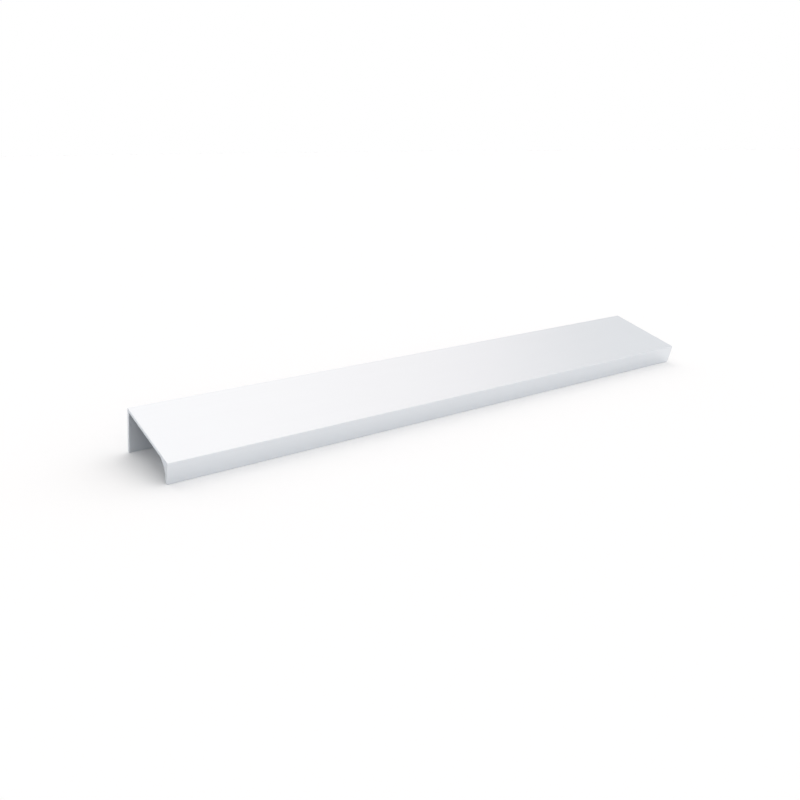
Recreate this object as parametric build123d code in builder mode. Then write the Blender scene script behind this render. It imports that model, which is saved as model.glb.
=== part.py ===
from build123d import *
import os
from math import atan2, cos, degrees, radians, sin

os.makedirs("parts", exist_ok=True)

# Edge pull: one length of extruded aluminium. A flat plate caps the edge of a door or drawer front,
# a leg behind the front is screwed to it, and a short lip in front of it is what the fingers hook.
# Sizes are in millimetres. The section is drawn with its plate flat: x runs back along the plate from
# the lip's outer face, and y runs up from the plate's top.

# Driving sizes of the profile
length = 320
plate_depth = 45.5
plate_wall = 1.6
leg_height = 23
leg_wall = 1.6
lip_height = 10.8
lip_wall = 1.8

# The finger curve runs from the plate's underside down to the lip's straight tip
tip_straight = 1.8
finger_radius = lip_height - plate_wall - tip_straight

# Rounding left by the die, and the saw's edge broken at both ends
edge_radius = 0.4
tip_radius = 0.7
root_radius = 0.3
end_break = 0.15

# Countersunk screw holes through the leg, in one row, evenly spaced
screw_count = 4
screw_end_distance = 16
screw_hole_diameter = 4
countersink_diameter = 6.6
countersink_angle = 90
screw_pitch = (length - 2 * screw_end_distance) / (screw_count - 1)
screw_drop = (plate_wall + leg_height) / 2

# The profile stands by itself on the leg's inner bottom corner and the lip's outer bottom corner,
# so its plate slopes down to the front
stand_angle = degrees(atan2(leg_height - lip_height, plate_depth - leg_wall))
slope = radians(stand_angle)
front_y = edge_radius * (cos(slope) + sin(slope) - 1)
back_y = (plate_depth - edge_radius) * cos(slope) + (leg_height - edge_radius) * sin(slope) + edge_radius
foot_z = edge_radius * sin(slope) - (lip_height - edge_radius) * cos(slope) - edge_radius

# The origin is on the floor, under the middle of the standing profile
section_plane = Plane(
    origin=(-length / 2, -(front_y + back_y) / 2, -foot_z),
    x_dir=(0, cos(slope), sin(slope)),
    z_dir=(1, 0, 0),
)
leg_plane = Plane(
    origin=section_plane.from_local_coords((plate_depth, -screw_drop, length / 2)),
    x_dir=(1, 0, 0),
    z_dir=(0, cos(slope), sin(slope)),
)


def corner(sketch, x, y):
    """The vertex of the section nearest to a place on it."""
    return sketch.vertices().sort_by_distance((x, y))[0]


with BuildPart() as pull_profile:
    with BuildSketch(section_plane) as section:
        Rectangle(plate_depth, plate_wall, align=(Align.MIN, Align.MAX))
        Rectangle(lip_wall, lip_height, align=(Align.MIN, Align.MAX))
        with Locations((plate_depth, 0)):
            Rectangle(leg_wall, leg_height, align=(Align.MAX, Align.MAX))
        # The finger curve, and the small fillet between the plate and the leg
        fillet(corner(section, lip_wall, -plate_wall), finger_radius)
        fillet(corner(section, plate_depth - leg_wall, -plate_wall), root_radius)
        # The lip's tip is rounder on the side that the fingers touch
        fillet(corner(section, lip_wall, -lip_height), tip_radius)
        outer_corners = [
            corner(section, 0, 0),
            corner(section, plate_depth, 0),
            corner(section, plate_depth, -leg_height),
            corner(section, plate_depth - leg_wall, -leg_height),
            corner(section, 0, -lip_height),
        ]
        fillet(outer_corners, edge_radius)
    extrude(amount=length)
    # Both sawn ends
    sawn_ends = pull_profile.faces().filter_by(Axis.X)
    chamfer(sawn_ends.edges(), end_break)
    # Screws go in from behind the leg
    with Locations(leg_plane):
        with GridLocations(screw_pitch, 1, screw_count, 1):
            CounterSinkHole(
                radius=screw_hole_diameter / 2,
                counter_sink_radius=countersink_diameter / 2,
                counter_sink_angle=countersink_angle,
                depth=2 * leg_wall,
            )

pull_profile.part.label = "pull_profile"
export_step(pull_profile.part, "parts/pull_profile.step")
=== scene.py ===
from math import atan2, cos, pi, radians, sin

import bmesh
import bpy
from bpy.props import FloatProperty, FloatVectorProperty, IntProperty, PointerProperty
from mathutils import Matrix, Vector


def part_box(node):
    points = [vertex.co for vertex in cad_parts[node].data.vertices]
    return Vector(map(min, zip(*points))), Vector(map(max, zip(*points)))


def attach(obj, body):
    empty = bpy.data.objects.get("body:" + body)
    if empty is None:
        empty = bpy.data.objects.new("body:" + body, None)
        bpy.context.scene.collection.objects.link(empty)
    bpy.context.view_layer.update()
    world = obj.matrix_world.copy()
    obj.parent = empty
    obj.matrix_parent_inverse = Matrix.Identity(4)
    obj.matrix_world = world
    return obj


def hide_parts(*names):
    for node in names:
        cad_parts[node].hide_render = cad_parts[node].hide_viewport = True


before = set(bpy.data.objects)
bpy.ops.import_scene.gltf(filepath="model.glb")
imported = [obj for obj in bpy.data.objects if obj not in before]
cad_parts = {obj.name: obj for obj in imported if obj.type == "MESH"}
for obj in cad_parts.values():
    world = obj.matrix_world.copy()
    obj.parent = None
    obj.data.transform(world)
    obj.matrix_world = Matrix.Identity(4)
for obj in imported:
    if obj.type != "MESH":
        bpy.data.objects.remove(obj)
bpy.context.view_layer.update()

bl_info = {
    "name": "Edge Pull",
    "version": (1, 0, 0),
    "blender": (4, 5, 0),
    "location": "3D View > Sidebar > Edge Pull",
    "description": "Models an extruded aluminium edge pull, its satin finish and a plain pale studio",
    "category": "Add Mesh",
}

NODE = "pull_profile"
CAD_LOW, CAD_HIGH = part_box(NODE)
MM = 0.001
# a face counts as square to an axis where more of its unit normal than this lies along it
SQUARE = 0.99


class EdgePullSizes(bpy.types.PropertyGroup):
    """Sizes of the extruded section, seen with its plate flat, and of its holes"""
    length: FloatProperty(
        name="Length", description="Length that the profile is sawn to",
        default=CAD_HIGH.x - CAD_LOW.x, unit="LENGTH")
    plate_depth: FloatProperty(
        name="Plate depth", description="From the lip's outer face to the leg's back face",
        default=45.5 * MM, unit="LENGTH")
    plate_wall: FloatProperty(
        name="Plate thickness", description="Thickness of the top plate", default=1.6 * MM, unit="LENGTH")
    leg_height: FloatProperty(
        name="Leg height", description="Outer height of the back leg", default=23 * MM, unit="LENGTH")
    leg_wall: FloatProperty(
        name="Leg thickness", description="Thickness of the back leg", default=1.6 * MM, unit="LENGTH")
    lip_height: FloatProperty(
        name="Lip height", description="Outer height of the front lip", default=10.8 * MM, unit="LENGTH")
    lip_wall: FloatProperty(
        name="Lip thickness", description="Thickness of the lip at its tip", default=1.8 * MM, unit="LENGTH")
    tip_straight: FloatProperty(
        name="Straight tip", description="Flat stretch of the lip below the finger curve",
        default=1.8 * MM, unit="LENGTH")
    edge_radius: FloatProperty(
        name="Edge radius", description="Rounding of the outer corners", default=0.4 * MM, unit="LENGTH")
    tip_radius: FloatProperty(
        name="Tip radius", description="Rounding of the lip's inner tip corner",
        default=0.7 * MM, unit="LENGTH")
    root_radius: FloatProperty(
        name="Root radius", description="Fillet between the plate and the leg",
        default=0.3 * MM, unit="LENGTH")
    end_break: FloatProperty(
        name="End break", description="Edge break at the sawn ends", default=0.15 * MM, unit="LENGTH")
    screw_count: IntProperty(name="Screws", description="Countersunk holes in the leg", default=4, min=1)
    screw_end_distance: FloatProperty(
        name="Screw end distance", description="From each end to the nearest hole",
        default=16 * MM, unit="LENGTH")
    screw_hole: FloatProperty(
        name="Screw hole", description="Diameter of a screw hole", default=4 * MM, unit="LENGTH")
    countersink: FloatProperty(
        name="Countersink", description="Diameter of a countersink, cut at 90 degrees",
        default=6.6 * MM, unit="LENGTH")


class EdgePullFinish(bpy.types.PropertyGroup):
    """Colours and surface of the aluminium"""
    metal: FloatVectorProperty(
        name="Metal", description="Colour of the satin anodised faces", subtype="COLOR", size=3,
        min=0, max=1, default=(0.778, 0.804, 0.833))
    sawn: FloatVectorProperty(
        name="Sawn metal", description="Colour of the sawn ends", subtype="COLOR", size=3,
        min=0, max=1, default=(0.778, 0.804, 0.833))
    roughness: FloatProperty(
        name="Roughness", description="Roughness of the satin faces", default=0.30, min=0, max=1,
        subtype="FACTOR")
    sawn_roughness: FloatProperty(
        name="Sawn roughness", description="Roughness of the sawn ends", default=0.74, min=0, max=1,
        subtype="FACTOR")
    streak: FloatProperty(
        name="Streaks", description="How far the die lines vary the tone", default=0.02, min=0, max=1,
        subtype="FACTOR")


class EdgePullStudio(bpy.types.PropertyGroup):
    """Camera, floor and the light of the sky, which changes from the left to the right"""
    camera_place: FloatVectorProperty(
        name="Camera place", description="Where the camera stands", subtype="TRANSLATION", size=3,
        default=(-0.26628, -0.33147, 0.13296))
    camera_turn: FloatVectorProperty(
        name="Camera turn", description="Which way the camera looks", subtype="EULER", size=3,
        default=(radians(72.656), radians(0.497), radians(-35.909)))
    lens: FloatProperty(
        name="Lens", description="Focal length in millimetres on a 36 mm sensor", default=37.687, min=1,
        unit="CAMERA")
    floor: FloatVectorProperty(
        name="Floor", description="Colour of the floor", subtype="COLOR", size=3, min=0, max=1,
        default=(0.99, 0.995, 0.998))
    floor_lift: FloatProperty(
        name="Floor lift", description="How much lighter the floor looks than it is, to show white",
        default=1.045, min=1)
    backdrop: FloatVectorProperty(
        name="Backdrop", description="Colour seen behind the floor", subtype="COLOR", size=3,
        min=0, max=1, default=(1, 1, 1))
    dark_side: FloatVectorProperty(
        name="Dark side", description="Light from the left, where the studio is dark", subtype="COLOR",
        size=3, min=0, default=(0.26, 0.26, 0.275))
    overhead: FloatVectorProperty(
        name="Overhead", description="Light from above", subtype="COLOR", size=3, min=0,
        default=(1.214, 1.214, 1.214))
    right_overhead: FloatVectorProperty(
        name="Right overhead", description="Light from above on the right, a little warm", subtype="COLOR",
        size=3, min=0, default=(1.229, 1.188, 1.163))
    right_shoulder: FloatVectorProperty(
        name="Right shoulder", description="Light where the broad light ends on the right",
        subtype="COLOR", size=3, min=0, default=(1.102, 1.061, 1.051))
    right_side: FloatVectorProperty(
        name="Right side", description="Light from beside the broad light", subtype="COLOR",
        size=3, min=0, default=(0.841, 0.847, 0.852))
    far_right: FloatVectorProperty(
        name="Far right", description="Light from straight right", subtype="COLOR",
        size=3, min=0, default=(1.071, 1.091, 1.122))


class Wire:
    """An output socket that Python arithmetic works on: each operator adds a Math node"""

    def __init__(self, desk, socket):
        self.desk = desk
        self.socket = socket

    def math(self, operation, first, second):
        return self.desk.node("ShaderNodeMath", {"operation": operation}, {0: first, 1: second})

    def __add__(self, other):
        return self.math("ADD", self, other)

    def __radd__(self, other):
        return self.math("ADD", other, self)

    def __sub__(self, other):
        return self.math("SUBTRACT", self, other)

    def __rsub__(self, other):
        return self.math("SUBTRACT", other, self)

    def __mul__(self, other):
        return self.math("MULTIPLY", self, other)

    def __rmul__(self, other):
        return self.math("MULTIPLY", other, self)


class Desk:
    """The node tree of a material or world, emptied, to which nodes are added"""

    def __init__(self, owner, ending):
        owner.use_nodes = True
        self.tree = owner.node_tree
        self.tree.nodes.clear()
        self.end = self.tree.nodes.new(ending)

    def node(self, kind, settings=None, sockets=None, out=0):
        """A node of this type, with its settings and its sockets' values or wires; gives one output"""
        made = self.tree.nodes.new(kind)
        for name, value in (settings or {}).items():
            if name == "stops":
                self.set_stops(made.color_ramp, value)
            else:
                setattr(made, name, value)
        for name, value in (sockets or {}).items():
            if isinstance(value, Wire):
                self.tree.links.new(value.socket, made.inputs[name])
            else:
                made.inputs[name].default_value = value
        return Wire(self, made.outputs[out])

    def set_stops(self, ramp, stops):
        """Each stop is a place from 0 to 1 and a colour"""
        while len(ramp.elements) < len(stops):
            ramp.elements.new(1)
        for element, (place, colour) in zip(ramp.elements, stops):
            element.position = place
            element.color = (*colour, 1)

    def finish(self, wire, name="Surface"):
        self.tree.links.new(wire.socket, self.end.inputs[name])


def leg_front(sizes):
    """Depth of the leg's inner face, from the lip's outer face"""
    return sizes.plate_depth - sizes.leg_wall


def section_slope(sizes):
    """Slope of the plate of the profile as it stands on its leg and its lip"""
    return atan2(sizes.leg_height - sizes.lip_height, leg_front(sizes))


def section_place(sizes):
    """Where the section's top front corner is, with the bounding box's base centred on the origin"""
    slope, radius = section_slope(sizes), sizes.edge_radius
    front = radius * (cos(slope) + sin(slope) - 1)
    back = (sizes.plate_depth - radius) * cos(slope) + (sizes.leg_height - radius) * sin(slope) + radius
    foot = radius * sin(slope) - (sizes.lip_height - radius) * cos(slope) - radius
    return Vector((0, -(front + back) / 2, -foot))


def section_mapping(desk, sizes, cell):
    """Object coordinates turned to the section, in cells along the length, the depth and the height"""
    coordinates = desk.node("ShaderNodeTexCoord", out="Object")
    return desk.node(
        "ShaderNodeMapping", {"vector_type": "TEXTURE"},
        {"Vector": coordinates, "Rotation": (section_slope(sizes), 0, 0), "Scale": cell})


def section_noise(desk, sizes, cell, detail, roughness):
    """Noise from 0 to 1 whose cells have this length, depth and height on the section"""
    return desk.node(
        "ShaderNodeTexNoise", None,
        {"Vector": section_mapping(desk, sizes, cell),
         "Scale": 1.0, "Detail": detail, "Roughness": roughness})


def satin_anodised(sizes, finish):
    """Satin anodised aluminium, with the faint lines that the die leaves along its length"""
    material = bpy.data.materials.new("satin_anodised")
    desk = Desk(material, "ShaderNodeOutputMaterial")
    line_cell = (150 * MM, 0.5 * MM, 0.5 * MM)
    cloud_cell = (40 * MM, 9 * MM, 9 * MM)
    grain_cell = (0.12 * MM, 0.12 * MM, 0.12 * MM)
    relief_depth, relief_strength = 0.02 * MM, 0.15
    # the roughness goes this far below and above its middle value
    roughness_play = 0.04
    # the lines' share of the tone, beside the clouds, and of the relief, beside the grain
    line_tone, line_relief = 0.6, 0.7
    lines = section_noise(desk, sizes, line_cell, detail=3, roughness=0.6)
    clouds = section_noise(desk, sizes, cloud_cell, detail=2, roughness=0.5)
    grain = section_noise(desk, sizes, grain_cell, detail=1, roughness=0.5)
    tone = line_tone * lines + (1 - line_tone) * clouds
    height = line_relief * lines + (1 - line_relief) * grain
    dark = [level * (1 - finish.streak) for level in finish.metal]
    light = [min(1, level * (1 + finish.streak)) for level in finish.metal]
    colour = desk.node(
        "ShaderNodeMix", {"data_type": "RGBA"},
        {"Factor": tone, 6: (*dark, 1), 7: (*light, 1)}, out=2)
    relief = desk.node(
        "ShaderNodeBump", None,
        {"Height": height, "Strength": relief_strength, "Distance": relief_depth})
    metal = desk.node(
        "ShaderNodeBsdfPrincipled", None,
        {"Base Color": colour, "Metallic": 1.0, "Normal": relief,
         "Roughness": finish.roughness - roughness_play + 2 * roughness_play * tone})
    desk.finish(metal)
    return material


def sawn_aluminium(sizes, finish):
    """The sawn ends, with the fine arcs that a large round blade leaves"""
    material = bpy.data.materials.new("sawn_aluminium")
    desk = Desk(material, "ShaderNodeOutputMaterial")
    arc_cell = (1 * MM, 1 * MM, 1 * MM)
    # how close the arcs lie, how far they waver and how finely
    arc_scale, arc_waver, waver_detail = 1.1, 0.8, 2.0
    relief_depth, relief_strength = 0.02 * MM, 0.2
    # the roughness goes this far above its own value
    roughness_play = 0.06
    arcs = desk.node(
        "ShaderNodeTexWave", {"wave_type": "RINGS", "rings_direction": "X"},
        {"Vector": section_mapping(desk, sizes, arc_cell),
         "Scale": arc_scale, "Distortion": arc_waver, "Detail": waver_detail})
    relief = desk.node(
        "ShaderNodeBump", None,
        {"Height": arcs, "Strength": relief_strength, "Distance": relief_depth})
    metal = desk.node(
        "ShaderNodeBsdfPrincipled", None,
        {"Base Color": (*finish.sawn, 1), "Metallic": 1.0, "Normal": relief,
         "Roughness": finish.sawn_roughness + roughness_play * arcs})
    desk.finish(metal)
    return material


def deselect_all():
    if bpy.context.mode != "OBJECT":
        bpy.ops.object.mode_set(mode="OBJECT")
    bpy.ops.object.select_all(action="DESELECT")


def choose(obj):
    """Leave edit mode and select this object alone"""
    deselect_all()
    obj.select_set(True)
    bpy.context.view_layer.objects.active = obj


def start_editing(obj):
    choose(obj)
    bpy.ops.object.mode_set(mode="EDIT")


def pick(obj, kind, test):
    """In edit mode, select only the faces or edges that pass a test"""
    bpy.ops.mesh.select_mode(type=kind)
    bpy.ops.mesh.select_all(action="DESELECT")
    mesh = bmesh.from_edit_mesh(obj.data)
    parts = mesh.faces if kind == "FACE" else mesh.edges
    chosen = [part for part in parts if test(part)]
    if not chosen:
        raise RuntimeError(f"{obj.name} has no {kind.lower()} where one is to be worked")
    for part in chosen:
        part.select_set(True)
    mesh.select_flush_mode()
    bmesh.update_edit_mesh(obj.data)


def corner_edge(depth, height):
    """A test for the section's long edge at a place on the section"""
    place = Vector((depth, height))
    reach = 0.02 * MM

    def test(edge):
        return all((vertex.co.yz - place).length < reach for vertex in edge.verts)

    return test


def bevel_picked(width, segments):
    bpy.ops.mesh.bevel(
        offset=width, offset_type="OFFSET", segments=segments, affect="EDGES", clamp_overlap=False)


def draw_down(obj, near, far, drop):
    """Extrude the strip of the plate's underside between two depths downwards"""
    pick(obj, "FACE", lambda face: face.normal.z < -SQUARE and near < face.calc_center_median().y < far)
    bpy.ops.mesh.extrude_region_move(TRANSFORM_OT_translate={"value": (0, 0, -drop)})


def extrude_section(sizes):
    """The profile with sharp corners, plate flat: y is the depth from the lip, z is 0 at the plate's top"""
    deselect_all()
    bpy.ops.mesh.primitive_cube_add(
        size=1, location=(0, sizes.plate_depth / 2, -sizes.plate_wall / 2),
        scale=(sizes.length, sizes.plate_depth, sizes.plate_wall))
    obj = bpy.context.active_object
    obj.name = "satin_profile"
    bpy.ops.object.transform_apply(location=True, rotation=True, scale=True)
    start_editing(obj)
    for depth in (sizes.lip_wall, leg_front(sizes)):
        bpy.ops.mesh.select_all(action="SELECT")
        bpy.ops.mesh.bisect(plane_co=(0, depth, 0), plane_no=(0, 1, 0))
    draw_down(obj, 0, sizes.lip_wall, sizes.lip_height - sizes.plate_wall)
    draw_down(obj, leg_front(sizes), sizes.plate_depth, sizes.leg_height - sizes.plate_wall)
    bpy.ops.mesh.select_all(action="SELECT")
    bpy.ops.mesh.dissolve_limited(angle_limit=radians(1))
    return obj


def round_corners(obj, sizes):
    """The finger curve first, then the small radii that the die leaves"""
    finger_radius = sizes.lip_height - sizes.plate_wall - sizes.tip_straight
    # how many flat strips make up each kind of rounding
    finger_strips, root_strips, tip_strips, edge_strips = 24, 4, 6, 5
    for depth, height, radius, strips in (
        (sizes.lip_wall, -sizes.plate_wall, finger_radius, finger_strips),
        (leg_front(sizes), -sizes.plate_wall, sizes.root_radius, root_strips),
        (sizes.lip_wall, -sizes.lip_height, sizes.tip_radius, tip_strips),
        (0, 0, sizes.edge_radius, edge_strips),
        (sizes.plate_depth, 0, sizes.edge_radius, edge_strips),
        (sizes.plate_depth, -sizes.leg_height, sizes.edge_radius, edge_strips),
        (leg_front(sizes), -sizes.leg_height, sizes.edge_radius, edge_strips),
        (0, -sizes.lip_height, sizes.edge_radius, edge_strips),
    ):
        pick(obj, "EDGE", corner_edge(depth, height))
        bevel_picked(radius, strips)


def break_ends(obj, sizes):
    """Break the edges round both sawn ends"""
    pick(obj, "EDGE", lambda edge: any(abs(face.normal.x) > SQUARE for face in edge.link_faces))
    bevel_picked(sizes.end_break, segments=2)


def countersink_bit(sizes):
    """A solid of the hole and its countersink, on the leg's back face at mid-length"""
    hole, top = sizes.screw_hole / 2, sizes.countersink / 2
    cone = top - hole
    shank = 2 * sizes.leg_wall - cone
    # how far the bit stands out of the leg's back face
    over = 0.5 * MM
    screw_line = -(sizes.plate_wall + sizes.leg_height) / 2
    deselect_all()
    bpy.ops.mesh.primitive_cylinder_add(
        vertices=64, radius=hole, depth=shank, rotation=(pi / 2, 0, 0),
        location=(0, sizes.plate_depth - cone - shank / 2, screw_line))
    bit = bpy.context.active_object
    bit.name = "countersink_bit"
    bpy.ops.object.transform_apply(location=True, rotation=True, scale=True)
    start_editing(bit)
    pick(bit, "FACE", lambda face: face.normal.y > SQUARE)
    bpy.ops.mesh.extrude_region_move(TRANSFORM_OT_translate={"value": (0, cone + over, 0)})
    wider = (top + over) / hole
    bpy.ops.transform.resize(
        value=(wider, 1, wider), center_override=(0, sizes.plate_depth + over, screw_line))
    bpy.ops.object.mode_set(mode="OBJECT")
    return bit


def drill_leg(obj, sizes):
    """Cut the row of countersunk holes, each with its own copy of the bit"""
    deselect_all()
    bit = countersink_bit(sizes)
    first = -sizes.length / 2 + sizes.screw_end_distance
    pitch = (sizes.length - 2 * sizes.screw_end_distance) / max(1, sizes.screw_count - 1)
    for index in range(sizes.screw_count):
        cutter = bit.copy()
        cutter.data = bit.data.copy()
        bpy.context.collection.objects.link(cutter)
        cutter.location.x = first + index * pitch
        bpy.context.view_layer.update()
        choose(obj)
        cut = obj.modifiers.new("screw_hole", "BOOLEAN")
        cut.operation = "DIFFERENCE"
        cut.solver = "EXACT"
        cut.object = cutter
        bpy.ops.object.modifier_apply(modifier=cut.name)
        bpy.data.objects.remove(cutter)
    bpy.data.objects.remove(bit)


def stand_up(obj, sizes):
    """Tilt the profile onto its leg and its lip, and put its place into its mesh"""
    obj.location = section_place(sizes)
    obj.rotation_euler = (section_slope(sizes), 0, 0)
    choose(obj)
    bpy.ops.object.transform_apply(location=True, rotation=True, scale=True)


def merge_doubles(obj):
    """Merge the points that the cuts have doubled, and turn all faces outwards"""
    start_editing(obj)
    bpy.ops.mesh.select_all(action="SELECT")
    bpy.ops.mesh.remove_doubles(threshold=0.001 * MM)
    bpy.ops.mesh.normals_make_consistent(inside=False)


def give_metals(obj, sizes, finish):
    """Satin all over, and sawn metal on the flat ends"""
    obj.data.materials.append(satin_anodised(sizes, finish))
    obj.data.materials.append(sawn_aluminium(sizes, finish))
    start_editing(obj)
    pick(obj, "FACE", lambda face: abs(face.normal.x) > SQUARE)
    obj.active_material_index = 1
    bpy.ops.object.material_slot_assign()


def even_shading(obj):
    """Smooth the radii and keep the flat faces flat"""
    choose(obj)
    bpy.ops.object.shade_smooth_by_angle(angle=radians(40))
    weights = obj.modifiers.new("even_shading", "WEIGHTED_NORMAL")
    weights.mode = "FACE_AREA"
    weights.weight = 100
    weights.keep_sharp = True
    bpy.ops.object.modifier_apply(modifier=weights.name)


class EDGEPULL_OT_profile(bpy.types.Operator):
    """Model the extruded profile in the place of the plain solid and give it its finish"""
    bl_idname = "edge_pull.profile"
    bl_label = "Profile"

    def execute(self, context):
        sizes = context.scene.edge_pull_sizes
        finish = context.scene.edge_pull_finish
        obj = extrude_section(sizes)
        round_corners(obj, sizes)
        break_ends(obj, sizes)
        drill_leg(obj, sizes)
        stand_up(obj, sizes)
        merge_doubles(obj)
        give_metals(obj, sizes, finish)
        even_shading(obj)
        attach(obj, "root")
        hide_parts(NODE)
        return {"FINISHED"}


def seen_straight(desk):
    """1 for what the camera sees with nothing between, and 0 for all else"""
    return desk.node("ShaderNodeLightPath", out="Is Camera Ray")


def seen_mirrored(desk):
    """1 for what shows in metal or through glass, and 0 for all else"""
    return (desk.node("ShaderNodeLightPath", out="Is Glossy Ray")
            + desk.node("ShaderNodeLightPath", out="Is Transmission Ray"))


def pale_floor(studio):
    """A plain matt floor. The camera and the metal see it a little lighter than it is, so that it is
    white beside its shadow"""
    material = bpy.data.materials.new("pale_floor")
    desk = Desk(material, "ShaderNodeOutputMaterial")
    lifted = [level * studio.floor_lift for level in studio.floor]
    colour = desk.node(
        "ShaderNodeMix", {"data_type": "RGBA"},
        {"Factor": seen_straight(desk) + seen_mirrored(desk), 6: (*studio.floor, 1), 7: (*lifted, 1)},
        out=2)
    desk.finish(desk.node("ShaderNodeBsdfDiffuse", None, {"Color": colour}))
    return material


def soft_sky(scene, studio):
    """A broad soft light above, less bright to the right and dark on the left. The camera sees a plain
    backdrop in its place, and metal mirrors that backdrop only low down, where it meets the floor"""
    world = bpy.data.worlds.new("soft_sky")
    scene.world = world
    desk = Desk(world, "ShaderNodeOutputWorld")
    direction = desk.node("ShaderNodeTexCoord", out="Generated")
    sideways = desk.node("ShaderNodeSeparateXYZ", None, {0: direction}, out="X")
    height = desk.node("ShaderNodeSeparateXYZ", None, {0: direction}, out="Z")
    # where each light lies, from -1 at the left to 1 at the right
    lights_across = (
        (-0.7, studio.dark_side),
        (-0.25, studio.overhead),
        (0.4, studio.right_overhead),
        (0.65, studio.right_shoulder),
        (0.75, studio.right_side),
        (1.0, studio.far_right),
    )
    # a ramp runs from 0 to 1
    stops = [(0.5 + 0.5 * place, colour) for place, colour in lights_across]
    light = desk.node("ShaderNodeValToRGB", {"stops": stops}, {0: 0.5 + 0.5 * sideways})
    # mirrored, the backdrop is whole up to the first height and has faded into the sky at the second
    backdrop_top, sky_foot = 0.15, 0.3
    sky_share = desk.node("ShaderNodeMapRange", None, {0: height, 1: backdrop_top, 2: sky_foot})
    backdrop_share = seen_straight(desk) + seen_mirrored(desk) * (1 - sky_share)
    level = desk.node(
        "ShaderNodeMix", {"data_type": "RGBA"},
        {"Factor": backdrop_share, 6: light, 7: (*studio.backdrop, 1)}, out=2)
    desk.finish(desk.node("ShaderNodeBackground", None, {"Color": level, "Strength": 1.0}))


class EDGEPULL_OT_studio(bpy.types.Operator):
    """Lay the pale floor and set the soft light and the camera"""
    bl_idname = "edge_pull.studio"
    bl_label = "Studio"

    def execute(self, context):
        studio = context.scene.edge_pull_studio
        deselect_all()
        bpy.ops.mesh.primitive_circle_add(vertices=96, radius=9, fill_type="NGON", location=(0, 0, 0))
        floor = bpy.context.active_object
        floor.name = "studio_floor"
        floor.data.materials.append(pale_floor(studio))
        soft_sky(context.scene, studio)
        bpy.ops.object.camera_add(location=studio.camera_place, rotation=studio.camera_turn)
        camera = bpy.context.active_object
        camera.name = "camera"
        camera.data.sensor_width = 36
        camera.data.lens = studio.lens
        camera.data.clip_start = 10 * MM
        context.scene.camera = camera
        context.scene.view_settings.view_transform = "Standard"
        return {"FINISHED"}


class EDGEPULL_PT_panel(bpy.types.Panel):
    """Lists the pieces and the studio in the 3D view's sidebar"""
    bl_idname = "EDGEPULL_PT_panel"
    bl_label = "Edge Pull"
    bl_space_type = "VIEW_3D"
    bl_region_type = "UI"
    bl_category = "Edge Pull"

    def draw(self, context):
        layout = self.layout
        for group, operator in (
            (context.scene.edge_pull_sizes, None),
            (context.scene.edge_pull_finish, EDGEPULL_OT_profile),
            (context.scene.edge_pull_studio, EDGEPULL_OT_studio),
        ):
            box = layout.box()
            for name in group.__annotations__:
                box.prop(group, name)
            if operator:
                box.operator(operator.bl_idname)


CLASSES = (
    EdgePullSizes,
    EdgePullFinish,
    EdgePullStudio,
    EDGEPULL_OT_profile,
    EDGEPULL_OT_studio,
    EDGEPULL_PT_panel,
)


def register():
    for cls in CLASSES:
        bpy.utils.register_class(cls)
    bpy.types.Scene.edge_pull_sizes = PointerProperty(type=EdgePullSizes)
    bpy.types.Scene.edge_pull_finish = PointerProperty(type=EdgePullFinish)
    bpy.types.Scene.edge_pull_studio = PointerProperty(type=EdgePullStudio)


def unregister():
    del bpy.types.Scene.edge_pull_studio
    del bpy.types.Scene.edge_pull_finish
    del bpy.types.Scene.edge_pull_sizes
    for cls in reversed(CLASSES):
        bpy.utils.unregister_class(cls)


def main():
    register()
    bpy.ops.edge_pull.studio()
    bpy.ops.edge_pull.profile()


if __name__ == "__main__":
    main()
